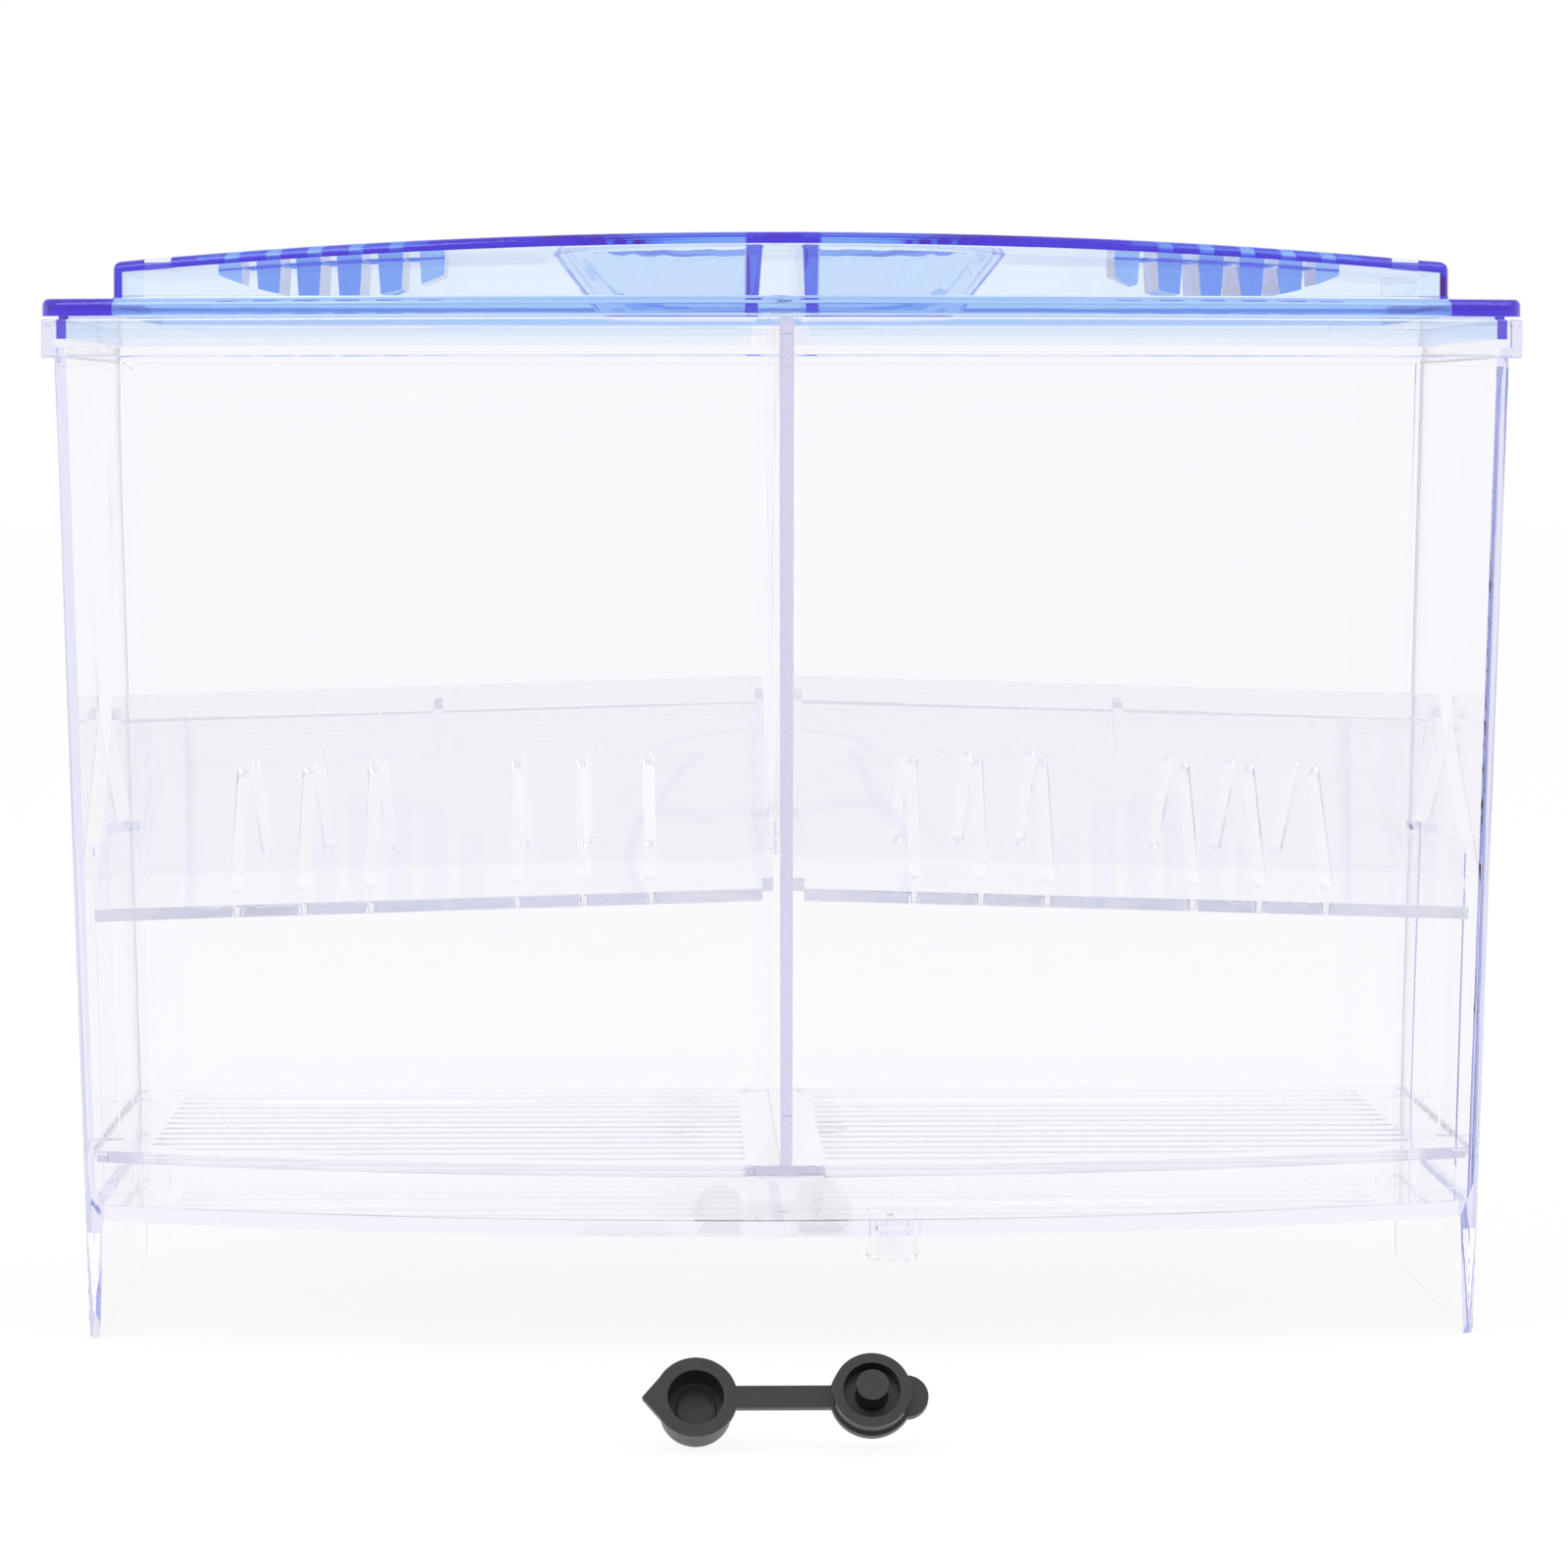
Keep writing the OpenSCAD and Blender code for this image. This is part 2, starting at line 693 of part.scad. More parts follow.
// The plug lies flat here, with its open side up
module plug_flat() {
    cup_x = -plug_span / 2;
    pin_x = plug_span / 2;
    gap_r = (nozzle_d - plug_squeeze) / 2;
    // The tip's flanks sink into the round flange just inside its edge, at 45 degrees
    tip_root = 0.7 * plug_r;
    difference() {
        union() {
            for (x = [cup_x, pin_x]) translate([x, 0, -plug_t]) cylinder(h = plug_t, r = plug_r);
            translate([cup_x, 0, -cup_depth]) cylinder(h = cup_depth - plug_t / 2, d = cup_d);
            translate([cup_x, 0, -plug_t]) linear_extrude(plug_t)
                polygon([[-cup_tip, 0], [-tip_root, -tip_root], [-tip_root, tip_root]]);
            translate([cup_x, -strap_w / 2, -plug_t]) cube([plug_span, strap_w, plug_t]);
            translate([pin_x, -tab_w / 2, -plug_t]) cube([tab_reach - tab_w / 2, tab_w, plug_t]);
            translate([pin_x + tab_reach - tab_w / 2, 0, -plug_t]) cylinder(h = plug_t, d = tab_w);
            translate([pin_x, 0, -plug_t / 2]) cylinder(h = ring_h + plug_t / 2, d = ring_d);
        }
        translate([cup_x, 0, -cup_depth + plug_t]) cylinder(h = cup_depth, r = gap_r);
        translate([pin_x, 0, 0]) cylinder(h = ring_h + past, r = gap_r);
    }
    translate([pin_x, 0, -plug_t / 2]) cylinder(h = plug_t / 2 + ring_h + pin_out, r = pin_r);
}

module drain_plug() {
    color(rubber_colour) in_frame()
        translate([-plug_left, -plug_ahead, plug_foot]) rotate([90 - plug_lean, 0, 0]) plug_flat();
}

tank();
lid();
divider();
grille();
plate_front_left();
plate_rear_left();
plate_front_right();
plate_rear_right();
drain_plug();
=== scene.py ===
# %% [markdown]
# # A clear fish breeding box
# The box is clear moulded plastic with a blue lid, so almost all of its looks come from light that goes
# through it. The construction comes from the frame: every solid already has its true size and place. This
# script gives the solids their moulded edges, their marks and their plastics, and lights them.

# %% The frame, and the box's size before anything is dressed
import math

import bmesh
import bpy
from mathutils import Matrix, Vector
from mathutils.bvhtree import BVHTree


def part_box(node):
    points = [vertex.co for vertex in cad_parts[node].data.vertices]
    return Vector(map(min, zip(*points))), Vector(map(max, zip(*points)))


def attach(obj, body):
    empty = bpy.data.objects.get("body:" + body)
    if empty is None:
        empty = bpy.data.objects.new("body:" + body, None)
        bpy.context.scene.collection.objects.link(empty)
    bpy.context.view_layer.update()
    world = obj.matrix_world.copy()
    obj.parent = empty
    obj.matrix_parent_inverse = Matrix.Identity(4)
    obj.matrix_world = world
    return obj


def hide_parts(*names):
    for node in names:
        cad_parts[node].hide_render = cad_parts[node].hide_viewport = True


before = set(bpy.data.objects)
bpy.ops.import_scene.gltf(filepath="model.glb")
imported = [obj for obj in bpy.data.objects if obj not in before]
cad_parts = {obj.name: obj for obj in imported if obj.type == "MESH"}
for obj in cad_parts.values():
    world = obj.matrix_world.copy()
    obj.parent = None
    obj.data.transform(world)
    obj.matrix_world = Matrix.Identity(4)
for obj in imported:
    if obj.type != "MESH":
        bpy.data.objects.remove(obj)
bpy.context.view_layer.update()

MM = 0.001
PAD_HEIGHT = 0.4 * MM
CORNER_DEPTH = 82 * MM
BOW = 20 * MM
tank_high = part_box("tank")[1]
rim_top = tank_high.z - PAD_HEIGHT
half_width = tank_high.x
back_y = tank_high.y
corner_y = back_y - CORNER_DEPTH
bow_radius = (half_width ** 2 + BOW ** 2) / (2 * BOW)
bow_centre = corner_y + bow_radius - BOW
print("front corners at y =", round(corner_y, 5), "rim at z =", round(rim_top, 5))

# %% [markdown]
# ## The camera
# A product photographer stands well back and uses a long lens, so that the box's sides hardly converge. A
# wide lens close to the box would make the front look much larger than the back. This camera stands 0.76 m
# in front of the box's front corners, about 5 cm above its middle and a little left of it, and it looks
# slightly down.

# %% The camera
CAMERA_AHEAD = 762 * MM
CAMERA_X = -17.8 * MM
CAMERA_Z = 127.6 * MM
LOOK_RIGHT = math.radians(1.338)
LOOK_DOWN = math.radians(3.76)
camera_data = bpy.data.cameras.new("camera")
camera_data.lens = 126.7
camera_data.clip_start = 0.05
camera_data.clip_end = 20
camera = bpy.data.objects.new("camera", camera_data)
camera.location = (CAMERA_X, corner_y - CAMERA_AHEAD, CAMERA_Z)
camera.rotation_euler = (math.pi / 2 - LOOK_DOWN, 0, -LOOK_RIGHT)
scene = bpy.context.scene
scene.collection.objects.link(camera)
scene.camera = camera
print("camera stands", round(CAMERA_AHEAD, 3), "m in front of the corners")

# %% [markdown]
# ## Light, floor and world
# Clear plastic has no colour of its own to light: it shows whatever stands behind it. So the room round it
# is white, as in a light tent. Light Path tells rays that end in the picture, or that came through the
# plastic, that the room is white at strength 1, while the light that falls on the pieces stays plain.
# Inside a thin wall a ray bounces from side to side many times before it leaves at an edge, and Cycles
# counts those as glossy bounces. With few of them the edges would turn black, so the limits are high.

# %% How far the light is followed
scene.view_settings.view_transform = "Standard"
scene.cycles.max_bounces = 64
scene.cycles.transmission_bounces = 40
scene.cycles.transparent_max_bounces = 16
scene.cycles.glossy_bounces = 48
print("light bounces:", scene.cycles.max_bounces, "in all,", scene.cycles.glossy_bounces, "glossy")


# %% Two helpers for node trees
def nodes_of(tree):
    """Empties a node tree, and returns a function that adds a node to it and one that joins two sockets."""
    tree.nodes.clear()

    def add(kind, **values):
        node = tree.nodes.new(kind)
        for name, value in values.items():
            setattr(node, name, value)
        return node

    return add, tree.links.new


def seen_by_eye(add, link):
    """1 for rays that show the room itself: straight, mirrored or through clear plastic."""
    path = add("ShaderNodeLightPath")
    first = add("ShaderNodeMath", operation="MAXIMUM")
    link(path.outputs["Is Camera Ray"], first.inputs[0])
    link(path.outputs["Is Glossy Ray"], first.inputs[1])
    both = add("ShaderNodeMath", operation="MAXIMUM")
    link(first.outputs[0], both.inputs[0])
    link(path.outputs["Is Transmission Ray"], both.inputs[1])
    return both.outputs[0]


# %% The world
WORLD_LIGHT = 0.75
world = bpy.data.worlds.new("light_tent")
world.use_nodes = True
scene.world = world
add, link = nodes_of(world.node_tree)
room = add("ShaderNodeBackground")
room.inputs["Color"].default_value = (1, 1, 1, 1)
lit = add("ShaderNodeBackground")
lit.inputs["Color"].default_value = (1, 1, 1, 1)
lit.inputs["Strength"].default_value = WORLD_LIGHT
choose = add("ShaderNodeMixShader")
link(seen_by_eye(add, link), choose.inputs["Fac"])
link(lit.outputs[0], choose.inputs[1])
link(room.outputs[0], choose.inputs[2])
link(choose.outputs[0], add("ShaderNodeOutputWorld").inputs["Surface"])
print("world:", world.name, "lights the pieces at", WORLD_LIGHT)


# %% The lamps
def soft_lamp(name, where, aim, size, watts):
    """A square soft box that points at a place."""
    data = bpy.data.lights.new(name, "AREA")
    data.size = size
    data.energy = watts
    lamp = bpy.data.objects.new(name, data)
    lamp.location = where
    lamp.rotation_euler = (Vector(aim) - Vector(where)).to_track_quat("-Z", "Y").to_euler()
    scene.collection.objects.link(lamp)
    print(name, "has", watts, "W")


soft_lamp("soft_box_left", (-0.55, -0.5, 0.75), (0, 0, 0.05), 0.5, 2.5)
soft_lamp("soft_box_right", (0.6, -0.3, 0.7), (0, 0, 0.05), 0.5, 1.5)

# %% [markdown]
# The box stands on white paper. Plain paper would look grey under these lamps, and a sheet that only glows
# would show no shadow. So the eye sees mostly glow, and a little shade that takes the shadow. The light
# that the paper throws back at the pieces comes from a plain pale sheet. It lies a hair's breadth below the
# box, because two faces in one place would show as dark spots.

# %% The floor
FLOOR_SHADE = 0.12
FLOOR_GLOW = 0.9
FLOOR_REACH = 6.0
FLOOR_BELOW = 0.05 * MM
PAPER_SHADE = 0.8
floor_mesh = bpy.data.meshes.new("floor")
corners = [(-FLOOR_REACH, -FLOOR_REACH, 0), (FLOOR_REACH, -FLOOR_REACH, 0),
           (FLOOR_REACH, FLOOR_REACH, 0), (-FLOOR_REACH, FLOOR_REACH, 0)]
floor_mesh.from_pydata(corners, [], [(0, 1, 2, 3)])
floor = bpy.data.objects.new("floor", floor_mesh)
floor.location.z = -FLOOR_BELOW
scene.collection.objects.link(floor)
paper = bpy.data.materials.new("white_paper")
paper.use_nodes = True
add, link = nodes_of(paper.node_tree)
shade = add("ShaderNodeBsdfDiffuse")
shade.inputs["Color"].default_value = (FLOOR_SHADE, FLOOR_SHADE, FLOOR_SHADE, 1)
glow = add("ShaderNodeEmission")
glow.inputs["Strength"].default_value = FLOOR_GLOW
seen = add("ShaderNodeAddShader")
link(shade.outputs[0], seen.inputs[0])
link(glow.outputs[0], seen.inputs[1])
plain = add("ShaderNodeBsdfDiffuse")
plain.inputs["Color"].default_value = (PAPER_SHADE, PAPER_SHADE, PAPER_SHADE, 1)
choose = add("ShaderNodeMixShader")
link(seen_by_eye(add, link), choose.inputs["Fac"])
link(plain.outputs[0], choose.inputs[1])
link(seen.outputs[0], choose.inputs[2])
link(choose.outputs[0], add("ShaderNodeOutputMaterial").inputs["Surface"])
floor_mesh.materials.append(paper)
print("the floor reaches", FLOOR_REACH, "m each way")

# %% [markdown]
# ## The plastics
# Cast clear plastic is dyed so faintly that a wall looks clear, while its edge, seen along the wall, shows
# the dye. A surface colour can't do that. Volume Absorption can: it takes light away for each millimetre
# that the light travels inside. So each piece is a closed solid, and its colour depends on its thickness.
# A skin that is a little less than white adds the faint haze that a handled surface has.
# The lid's plastic also gives off a faint red light of its own: a painted glow, which turns its thick edges
# violet. A faint noise in the bump stands for the waves that a mould leaves in a polished face.

# %% Clear and blue plastic
ACRYLIC_IOR = 1.49
WAVE_SIZE = 45
WAVE_HEIGHT = 0.2 * MM
DENSITY_SPARE = 1.05


def dyed_plastic_and_painted_glow(name, per_metre, skin, ripple, roughness=0.0, glow=None):
    """Clear plastic that absorbs this much red, green and blue light for each metre inside it.

    Its skin lets the share skin of the light through each time that a ray has gone in and out. A glow, if
    given, is painted light that the plastic gives off though it is no lamp.
    """
    density = max(per_metre) * DENSITY_SPARE
    material = bpy.data.materials.new(name)
    material.use_nodes = True
    add, link = nodes_of(material.node_tree)
    shader = add("ShaderNodeBsdfPrincipled")
    shader.inputs["Base Color"].default_value = skin + (1,)
    shader.inputs["Roughness"].default_value = roughness
    shader.inputs["IOR"].default_value = ACRYLIC_IOR
    shader.inputs["Transmission Weight"].default_value = 1
    place = add("ShaderNodeTexCoord")
    waves = add("ShaderNodeTexNoise")
    waves.inputs["Scale"].default_value = WAVE_SIZE
    waves.inputs["Detail"].default_value = 2
    bump = add("ShaderNodeBump")
    bump.inputs["Strength"].default_value = ripple
    bump.inputs["Distance"].default_value = WAVE_HEIGHT
    link(place.outputs["Object"], waves.inputs["Vector"])
    link(waves.outputs["Fac"], bump.inputs["Height"])
    link(bump.outputs["Normal"], shader.inputs["Normal"])
    dye = add("ShaderNodeVolumeAbsorption")
    dye.inputs["Density"].default_value = density
    dye.inputs["Color"].default_value = tuple(1 - a / density for a in per_metre) + (1,)
    inside = dye.outputs[0]
    # The glow is a painted glow: light that the plastic gives off of its own.
    if glow:
        light = add("ShaderNodeEmission")
        light.inputs["Strength"].default_value = max(glow)
        light.inputs["Color"].default_value = tuple(g / max(glow) for g in glow) + (1,)
        both = add("ShaderNodeAddShader")
        link(dye.outputs[0], both.inputs[0])
        link(light.outputs[0], both.inputs[1])
        inside = both.outputs[0]
    out = add("ShaderNodeOutputMaterial")
    link(shader.outputs[0], out.inputs["Surface"])
    link(inside, out.inputs["Volume"])
    return material


wall_plastic = dyed_plastic_and_painted_glow("clear_wall", (2.7, 2.6, 0.6), (0.982, 0.977, 0.99), ripple=0.12)
# The floor's lesser dye is painted light, a paler colour in place of the light's straight run.
floor_plastic = dyed_plastic_and_painted_glow("clear_floor", (0.5, 0.6, 0.1), (0.99, 0.988, 0.995), ripple=0.12)
grille_plastic = dyed_plastic_and_painted_glow("clear_grille", (5.4, 5.7, 3.0), (0.988, 0.985, 0.993), ripple=0.15)
plate_plastic = dyed_plastic_and_painted_glow("clear_plate", (3.2, 3.2, 1.8), (0.972, 0.971, 0.983), ripple=0.2,
                             roughness=0.04)
divider_plastic = dyed_plastic_and_painted_glow("clear_divider", (3.7, 3.9, 1.7), (0.98, 0.978, 0.99), ripple=0.15)
# The lid's red glow is painted light, not a colour of its dye.
blue_plastic = dyed_plastic_and_painted_glow("clear_blue", (88, 44, 4.5), (1, 1, 1), ripple=0.15, glow=(4.6, 0, 0))
print("plastics:", [m.name for m in bpy.data.materials])

# %% [markdown]
# The drain plug is black rubber: matt, with a fine grain from its mould. Its flat faces look dark grey and
# its sides pale, because rubber mirrors more of the white room the flatter the light meets it. That comes
# from the Principled shader's own Fresnel, so the colour stays almost black.

# %% Black rubber
RUBBER_IOR = 1.6
GRAIN_SIZE = 900
GRAIN_HEIGHT = 0.05 * MM
rubber = bpy.data.materials.new("black_rubber")
rubber.use_nodes = True
add, link = nodes_of(rubber.node_tree)
shader = add("ShaderNodeBsdfPrincipled")
shader.inputs["Roughness"].default_value = 0.35
shader.inputs["IOR"].default_value = RUBBER_IOR
place = add("ShaderNodeTexCoord")
grain = add("ShaderNodeTexNoise")
grain.inputs["Scale"].default_value = GRAIN_SIZE
grain.inputs["Detail"].default_value = 4
tone = add("ShaderNodeValToRGB")
tone.color_ramp.elements[0].color = (0.006, 0.006, 0.007, 1)
tone.color_ramp.elements[1].color = (0.014, 0.014, 0.015, 1)
bump = add("ShaderNodeBump")
bump.inputs["Strength"].default_value = 0.25
bump.inputs["Distance"].default_value = GRAIN_HEIGHT
link(place.outputs["Object"], grain.inputs["Vector"])
link(grain.outputs["Fac"], tone.inputs["Fac"])
link(tone.outputs["Color"], shader.inputs["Base Color"])
link(grain.outputs["Fac"], bump.inputs["Height"])
link(bump.outputs["Normal"], shader.inputs["Normal"])
link(shader.outputs[0], add("ShaderNodeOutputMaterial").inputs["Surface"])
print("rubber:", rubber.name)

# %% [markdown]
# ## From solids to mouldings
# A solid from CAD has knife-sharp edges, and a real moulding has none: each corner of the mould is rounded a
# little, and a clear edge catches a bright line there. The frame's meshes mustn't change, so each piece is a
# welded copy, in which loose triangles are joined and flat sides are one face each. Then a Bevel modifier
# rounds the edges, each by its own weight, so that one pass can give a broad radius to the lid's rim and a
# narrow one to its pockets.
#
# Two clear solids that share a face confuse the light, which can't tell which of them it is in, and the
# face turns black. Real pieces that rest on each other touch only at a few grains. So wherever one piece
# rests on another, a hair's breadth of air is left between them.

# %% Welded copies
WELD = 0.002 * MM
FLAT = math.radians(0.06)


def new_piece(name, mesh):
    """An object for a mesh, in the scene."""
    piece = bpy.data.objects.new(name, mesh)
    scene.collection.objects.link(piece)
    return piece


def welded(node, name):
    """A closed copy of a CAD node: one vertex at each corner, and one face for each flat side."""
    mesh = bpy.data.meshes.new(name)
    work = bmesh.new()
    work.from_mesh(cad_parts[node].data)
    bmesh.ops.remove_doubles(work, verts=work.verts, dist=WELD)
    bmesh.ops.dissolve_limit(work, angle_limit=FLAT, verts=work.verts, edges=work.edges)
    work.to_mesh(mesh)
    work.free()
    for extra in ("custom_normal", "UVMap"):
        if extra in mesh.attributes:
            mesh.attributes.remove(mesh.attributes[extra])
    return new_piece(name, mesh)


print("corners closer than", WELD, "m are joined")


# %% Round edges
SHARP = math.radians(30)


def evaluated(piece):
    """Bakes a piece's modifiers into its mesh."""
    depsgraph = bpy.context.evaluated_depsgraph_get()
    mesh = bpy.data.meshes.new_from_object(piece.evaluated_get(depsgraph))
    piece.modifiers.clear()
    old = piece.data
    piece.data = mesh
    mesh.name = piece.name
    bpy.data.meshes.remove(old)


def rounded(piece, radius_of, segments=3):
    """Rounds each sharp edge by the radius that radius_of(middle, run) gives. 0 leaves it sharp."""
    work = bmesh.new()
    work.from_mesh(piece.data)
    weight = work.edges.layers.float.new("bevel_weight_edge")
    radius = {}
    for edge in work.edges:
        if edge.calc_face_angle(0) > SHARP:
            a, b = (v.co for v in edge.verts)
            radius[edge] = radius_of((a + b) / 2, b - a)
    widest = max(radius.values())
    for edge, value in radius.items():
        edge[weight] = value / widest
        edge.smooth = value > 0
    for face in work.faces:
        face.smooth = True
    work.to_mesh(piece.data)
    work.free()
    bevel = piece.modifiers.new("round", "BEVEL")
    bevel.limit_method = "WEIGHT"
    bevel.width = widest
    bevel.segments = segments
    bevel.use_clamp_overlap = False
    bevel.harden_normals = True
    evaluated(piece)
    return piece


def even(radius):
    """A rule that gives every edge the same radius."""
    return lambda middle, run: radius


def inset(point):
    """How far a point lies inside the outline of the tank's rim, seen from above."""
    from_bow = bow_radius - math.hypot(point.x, bow_centre - point.y)
    return min(half_width - abs(point.x), back_y - point.y, from_bow)


print("edges sharper than", round(math.degrees(SHARP)), "degrees can be rounded")

# %% Air, finish and a report
AIR = 0.03 * MM


def lift(piece, amount, low=-math.inf, high=math.inf):
    """Moves the vertices between two heights up by an amount."""
    for vertex in piece.data.vertices:
        if low <= vertex.co.z <= high:
            vertex.co.z += amount


def dress(piece, node, material):
    """The piece takes the place of a CAD node, rides on its body and gets its material."""
    piece.data.materials.clear()
    piece.data.materials.append(material)
    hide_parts(node)
    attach(piece, node)


def report(piece):
    """Prints a piece's faces and volume, and whether its mesh is closed."""
    work = bmesh.new()
    work.from_mesh(piece.data)
    open_edges = sum(1 for edge in work.edges if len(edge.link_faces) != 2)
    volume = work.calc_volume() / MM ** 3
    print(f"{piece.name}: {len(work.faces)} faces, {volume:.0f} mm3, open edges {open_edges}")
    work.free()


print("air between pieces that rest on each other:", AIR, "m")

# %% [markdown]
# ## The tank
# The tank's floor is polished and flat, so light that enters its front edge leaves at the back after one
# straight run, and the edge looks white. In the walls light is led round the corners and comes out violet.
# To follow every such ray would take hundreds of bounces. So the floor is cut out of the copy as a slab of
# its own, with less dye, and a hair's breadth of air round it. Its lesser dye is painted light: the real
# floor has the walls' plastic, and its paler colour stands in for the light's straight run.

# %% Helpers that cut
def circle(x, y, radius, steps=48):
    """Points of a circle, seen from above."""
    turns = [2 * math.pi * i / steps for i in range(steps)]
    return [(x + radius * math.cos(t), y + radius * math.sin(t)) for t in turns]


def prism(name, outline, low, high):
    """A closed prism over an outline."""
    work = bmesh.new()
    base = work.faces.new([work.verts.new((x, y, low)) for x, y in outline])
    grown = bmesh.ops.extrude_face_region(work, geom=[base])
    top = [v for v in grown["geom"] if isinstance(v, bmesh.types.BMVert)]
    bmesh.ops.translate(work, verts=top, vec=(0, 0, high - low))
    bmesh.ops.recalc_face_normals(work, faces=work.faces)
    mesh = bpy.data.meshes.new(name)
    work.to_mesh(mesh)
    work.free()
    return new_piece(name, mesh)


def cut(piece, tool, how):
    """Cuts one closed mesh by another, and removes the tool."""
    cutter = piece.modifiers.new("cut", "BOOLEAN")
    cutter.object = tool
    cutter.operation = how
    cutter.solver = "EXACT"
    evaluated(piece)
    bpy.data.objects.remove(tool)


# %% The slab of the tank's floor
FLOOR_TOP = 18.6 * MM
FLOOR_UNDER = 16.6 * MM
SLAB_INSET = 7.7 * MM
SLAB_GAP = 0.02 * MM
NOZZLE_X = 14.9 * MM
NOZZLE_Y = corner_y - 3 * MM
NOZZLE_HOLE = 3.75 * MM
HOLE_MARGIN = 1 * MM
ARC_STEPS = 72


def slab(name, gap, low, high):
    """A flat slab with the tank's bowed outline and a round hole for the nozzle."""
    side = half_width - SLAB_INSET - gap
    radius = bow_radius - SLAB_INSET - gap
    outline = []
    for i in range(ARC_STEPS + 1):
        x = side * (2 * i / ARC_STEPS - 1)
        outline.append((x, bow_centre - math.sqrt(radius ** 2 - x ** 2)))
    outline += [(side, back_y - SLAB_INSET - gap), (-side, back_y - SLAB_INSET - gap)]
    plate = prism(name, outline, low, high)
    nozzle = circle(NOZZLE_X, NOZZLE_Y, NOZZLE_HOLE + gap)
    cut(plate, prism(name + "_hole", nozzle, low - HOLE_MARGIN, high + HOLE_MARGIN), "DIFFERENCE")
    return plate


print("the slab is", round((FLOOR_TOP - FLOOR_UNDER) / MM, 2), "mm thick")

# %% [markdown]
# The tank's rear corners are round, and its front ends, its rim and its nozzle have a small radius. The
# rest is left sharp, because a radius too small to be seen only costs faces and time. A rule picks the
# edges by their place and length. The cutter goes a hair's breadth above the slab, or the ribs' feet would
# share a face with it.

# %% The tank's walls and floor
CLOSE = 0.1 * MM
LONG_EDGE = 20 * MM
SIDE_WALLS_FROM = 88 * MM
REAR_CORNER_DEPTH = 7 * MM
REAR_WALL_OUTSIDE = 5.2 * MM
REAR_OUTER_RADIUS = 1.8 * MM
REAR_INNER_RADIUS = 0.8 * MM
FRONT_END_DEPTH = 3 * MM
FRONT_END_OUTSIDE = 4 * MM
FRONT_END_RADIUS = 1.0 * MM
RIM_FROM = 100 * MM
RIM_OUTSIDE = 0.3 * MM
RIM_RADIUS = 0.3 * MM
NOZZLE_REACH = 8 * MM
NOZZLE_RADIUS = 0.2 * MM
CUTTER_BELOW = 2 * MM


def tank_radius(middle, run):
    """The radius of each of the tank's edges."""
    inside = inset(middle)
    if abs(run.z) > LONG_EDGE and abs(middle.x) > SIDE_WALLS_FROM:
        if middle.y > back_y - REAR_CORNER_DEPTH:
            outer = inside < REAR_WALL_OUTSIDE and abs(middle.x) > half_width - REAR_WALL_OUTSIDE
            return REAR_OUTER_RADIUS if outer else REAR_INNER_RADIUS
        outer = inside < FRONT_END_OUTSIDE and middle.y < corner_y + FRONT_END_DEPTH
        return FRONT_END_RADIUS if outer else 0
    if inside < RIM_OUTSIDE and middle.z > RIM_FROM:
        return RIM_RADIUS
    from_nozzle = math.hypot(middle.x - NOZZLE_X, middle.y - NOZZLE_Y)
    if middle.z < FLOOR_UNDER - CLOSE and from_nozzle < NOZZLE_REACH:
        return NOZZLE_RADIUS
    return 0


walls = welded("tank", "tank_walls")
cut(walls, slab("slab_cutter", 0, FLOOR_UNDER - CUTTER_BELOW, FLOOR_TOP + AIR), "DIFFERENCE")
rounded(walls, tank_radius)
lift(walls, -AIR, low=rim_top + PAD_HEIGHT / 2)
report(walls)
tank_floor = slab("tank_floor", SLAB_GAP, FLOOR_UNDER, FLOOR_TOP)
report(tank_floor)
dress(walls, "tank", wall_plastic)
tank_floor.data.materials.append(floor_plastic)
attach(tank_floor, "tank")

# %% [markdown]
# ## The lid
# The lid's flange and dome have broad round edges that a hand can feel, and its corners are round as seen
# from above. The finger pockets have small ones, and the vents stay sharp, so that their bars keep clear
# lines. One Bevel modifier makes all of them, because each edge has its own weight.

# %% The lid
FLANGE_THICK = 2.4 * MM
FLANGE_TOP = tank_high.z + FLANGE_THICK
DOME_INSET = 9.25 * MM
POCKET_HALF = 33 * MM
FLANGE_REAR_CORNER = 3.0 * MM
FLANGE_FRONT_CORNER = 1.8 * MM
FLANGE_LOWER_EDGE = 0.25 * MM
DOME_CORNER = 2.0 * MM
DOME_FOOT = 0.3 * MM
TOP_EDGE = 1.1 * MM
POCKET_EDGE = 0.3 * MM
ON_OUTLINE = 0.5 * MM
ON_DOME = 0.3 * MM
UPRIGHT_SHARE = 0.9


def lid_radius(middle, run):
    """The radius of each of the lid's edges."""
    inside = inset(middle)
    upright = abs(run.z) > UPRIGHT_SHARE * run.length
    if inside < ON_OUTLINE:
        if upright:
            return FLANGE_REAR_CORNER if middle.y > 0 else FLANGE_FRONT_CORNER
        return TOP_EDGE if middle.z > FLANGE_TOP - CLOSE else FLANGE_LOWER_EDGE
    if abs(inside - DOME_INSET) < ON_DOME:
        if upright:
            return DOME_CORNER
        return TOP_EDGE if middle.z > FLANGE_TOP + MM else DOME_FOOT
    if abs(middle.x) < POCKET_HALF and middle.z > FLANGE_TOP - MM:
        return POCKET_EDGE
    return 0


lid = rounded(welded("lid", "lid_moulding"), lid_radius)
report(lid)
dress(lid, "lid", blue_plastic)

# %% [markdown]
# ## Divider, grille and plates
# These are thinner and plainer mouldings. The divider, the grille's outline and legs, and the plates' long
# edges have a small radius, and all slots stay sharp. The plates go up whole by the hair's breadth of air.
# On the divider and the grille only the feet do, so their other edges keep their places.

